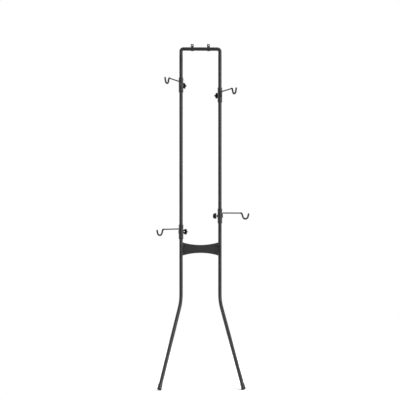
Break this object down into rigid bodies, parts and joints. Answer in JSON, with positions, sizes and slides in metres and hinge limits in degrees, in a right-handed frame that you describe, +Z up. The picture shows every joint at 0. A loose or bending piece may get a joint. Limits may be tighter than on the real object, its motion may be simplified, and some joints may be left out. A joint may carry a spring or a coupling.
{
  "type": "two tier bike rack",
  "caption": "Bike rack that leans on a wall: tubular frame with splayed legs, sliding and swinging clamps with hand knobs, and arms that end in covered hooks.",
  "frame": {"origin": "on the floor at the wall surface, midway between the uprights", "axes": "+Z up, +Y into the wall, -Y towards the bikes, +X to the right seen from the front"},
  "size_m": [0.5798, 0.4259, 2.121],
  "materials": {
    "frame_paint": "satin black powder coat",
    "clamp_paint": "satin black powder coat",
    "knob_plastic": "glossy black",
    "bush_nylon": "satin black",
    "hook_vinyl": "soft satin black",
    "foot_rubber": "matt black",
    "zinc_steel": "zinc plated",
    "pad_brass": "plain turned"
  },
  "bodies": {
    "frame": {"top_bar": "frame_paint", "connecting_plate": "frame_paint", "upright_left": "frame_paint", "leg_left": "frame_paint", "foot_cap_left": "foot_rubber", "plate_lug_left": "frame_paint", "top_joint_screw_left": "frame_paint", "leg_joint_screw_left": "frame_paint", "plate_screw_upper_left": "frame_paint", "plate_screw_lower_left": "frame_paint", "wall_bracket_left": "frame_paint", "bracket_bolt_left": "zinc_steel", "bracket_nut_left": "zinc_steel", "upright_right": "frame_paint", "leg_right": "frame_paint", "foot_cap_right": "foot_rubber", "plate_lug_right": "frame_paint", "top_joint_screw_right": "frame_paint", "leg_joint_screw_right": "frame_paint", "plate_screw_upper_right": "frame_paint", "plate_screw_lower_right": "frame_paint", "wall_bracket_right": "frame_paint", "bracket_bolt_right": "zinc_steel", "bracket_nut_right": "zinc_steel"},
    "upper_left_slider": {"upper_left_top_bush": "bush_nylon", "upper_left_bottom_bush": "bush_nylon"},
    "upper_left_clamp": {"upper_left_sleeve": "clamp_paint", "upper_left_arm": "clamp_paint", "upper_left_arm_pin": "zinc_steel", "upper_left_hook_cover": "hook_vinyl"},
    "upper_left_pad_body": {"upper_left_pad": "pad_brass"},
    "upper_left_knob_body": {"upper_left_stud": "zinc_steel", "upper_left_knob": "knob_plastic"},
    "upper_right_slider": {"upper_right_top_bush": "bush_nylon", "upper_right_bottom_bush": "bush_nylon"},
    "upper_right_clamp": {"upper_right_sleeve": "clamp_paint", "upper_right_arm": "clamp_paint", "upper_right_arm_pin": "zinc_steel", "upper_right_hook_cover": "hook_vinyl"},
    "upper_right_pad_body": {"upper_right_pad": "pad_brass"},
    "upper_right_knob_body": {"upper_right_stud": "zinc_steel", "upper_right_knob": "knob_plastic"},
    "lower_left_slider": {"lower_left_top_bush": "bush_nylon", "lower_left_bottom_bush": "bush_nylon"},
    "lower_left_clamp": {"lower_left_sleeve": "clamp_paint", "lower_left_arm": "clamp_paint", "lower_left_arm_pin": "zinc_steel", "lower_left_hook_cover": "hook_vinyl"},
    "lower_left_pad_body": {"lower_left_pad": "pad_brass"},
    "lower_left_knob_body": {"lower_left_stud": "zinc_steel", "lower_left_knob": "knob_plastic"},
    "lower_right_slider": {"lower_right_top_bush": "bush_nylon", "lower_right_bottom_bush": "bush_nylon"},
    "lower_right_clamp": {"lower_right_sleeve": "clamp_paint", "lower_right_arm": "clamp_paint", "lower_right_arm_pin": "zinc_steel", "lower_right_hook_cover": "hook_vinyl"},
    "lower_right_pad_body": {"lower_right_pad": "pad_brass"},
    "lower_right_knob_body": {"lower_right_stud": "zinc_steel", "lower_right_knob": "knob_plastic"}
  },
  "joints": [
    {"name": "upper_left_height", "type": "slide", "parent": "frame", "child": "upper_left_slider", "axis": [0, 0, 1], "range_m": [-0.417, 0.123]},
    {"name": "upper_left_swing", "type": "hinge", "parent": "upper_left_slider", "child": "upper_left_clamp", "pos_m": [-0.1238, -0.052, 1.847], "axis": [0, 0, 1], "range_deg": [-71, 49]},
    {"name": "upper_left_pad_slide", "type": "slide", "parent": "upper_left_clamp", "child": "upper_left_pad_body", "axis": [0.4848, 0.8746, 0], "range_m": [0, 0.003]},
    {"name": "upper_left_knob_turn", "type": "hinge", "parent": "upper_left_pad_body", "child": "upper_left_knob_body", "pos_m": [-0.1238, -0.052, 1.847], "axis": [0.4848, 0.8746, 0], "range_deg": [0, 720]},
    {"name": "upper_right_height", "type": "slide", "parent": "frame", "child": "upper_right_slider", "axis": [0, 0, 1], "range_m": [-0.354, 0.186]},
    {"name": "upper_right_swing", "type": "hinge", "parent": "upper_right_slider", "child": "upper_right_clamp", "pos_m": [0.1238, -0.052, 1.784], "axis": [0, 0, -1], "range_deg": [-72, 48]},
    {"name": "upper_right_pad_slide", "type": "slide", "parent": "upper_right_clamp", "child": "upper_right_pad_body", "axis": [-0.4695, 0.8829, 0], "range_m": [0, 0.003]},
    {"name": "upper_right_knob_turn", "type": "hinge", "parent": "upper_right_pad_body", "child": "upper_right_knob_body", "pos_m": [0.1238, -0.052, 1.784], "axis": [-0.4695, 0.8829, 0], "range_deg": [0, 720]},
    {"name": "lower_left_height", "type": "slide", "parent": "frame", "child": "lower_left_slider", "axis": [0, 0, 1], "range_m": [-0.012, 0.398]},
    {"name": "lower_left_swing", "type": "hinge", "parent": "lower_left_slider", "child": "lower_left_clamp", "pos_m": [-0.1238, -0.052, 0.912], "axis": [0, 0, 1], "range_deg": [-52, 68]},
    {"name": "lower_left_pad_slide", "type": "slide", "parent": "lower_left_clamp", "child": "lower_left_pad_body", "axis": [0.7431, 0.6691, 0], "range_m": [0, 0.003]},
    {"name": "lower_left_knob_turn", "type": "hinge", "parent": "lower_left_pad_body", "child": "lower_left_knob_body", "pos_m": [-0.1238, -0.052, 0.912], "axis": [0.7431, 0.6691, 0], "range_deg": [0, 720]},
    {"name": "lower_right_height", "type": "slide", "parent": "frame", "child": "lower_right_slider", "axis": [0, 0, 1], "range_m": [-0.113, 0.297]},
    {"name": "lower_right_swing", "type": "hinge", "parent": "lower_right_slider", "child": "lower_right_clamp", "pos_m": [0.1238, -0.052, 1.013], "axis": [0, 0, -1], "range_deg": [-36.7, 83.3]},
    {"name": "lower_right_pad_slide", "type": "slide", "parent": "lower_right_clamp", "child": "lower_right_pad_body", "axis": [-0.8934, 0.4493, 0], "range_m": [0, 0.003]},
    {"name": "lower_right_knob_turn", "type": "hinge", "parent": "lower_right_pad_body", "child": "lower_right_knob_body", "pos_m": [0.1238, -0.052, 1.013], "axis": [-0.8934, 0.4493, 0], "range_deg": [0, 720]}
  ],
  "couplings": [
    {"joint": "upper_left_knob_turn", "follows": "upper_left_pad_slide", "rad_per_m": 4188.8},
    {"joint": "upper_right_knob_turn", "follows": "upper_right_pad_slide", "rad_per_m": 4188.8},
    {"joint": "lower_left_knob_turn", "follows": "lower_left_pad_slide", "rad_per_m": 4188.8},
    {"joint": "lower_right_knob_turn", "follows": "lower_right_pad_slide", "rad_per_m": 4188.8}
  ]
}
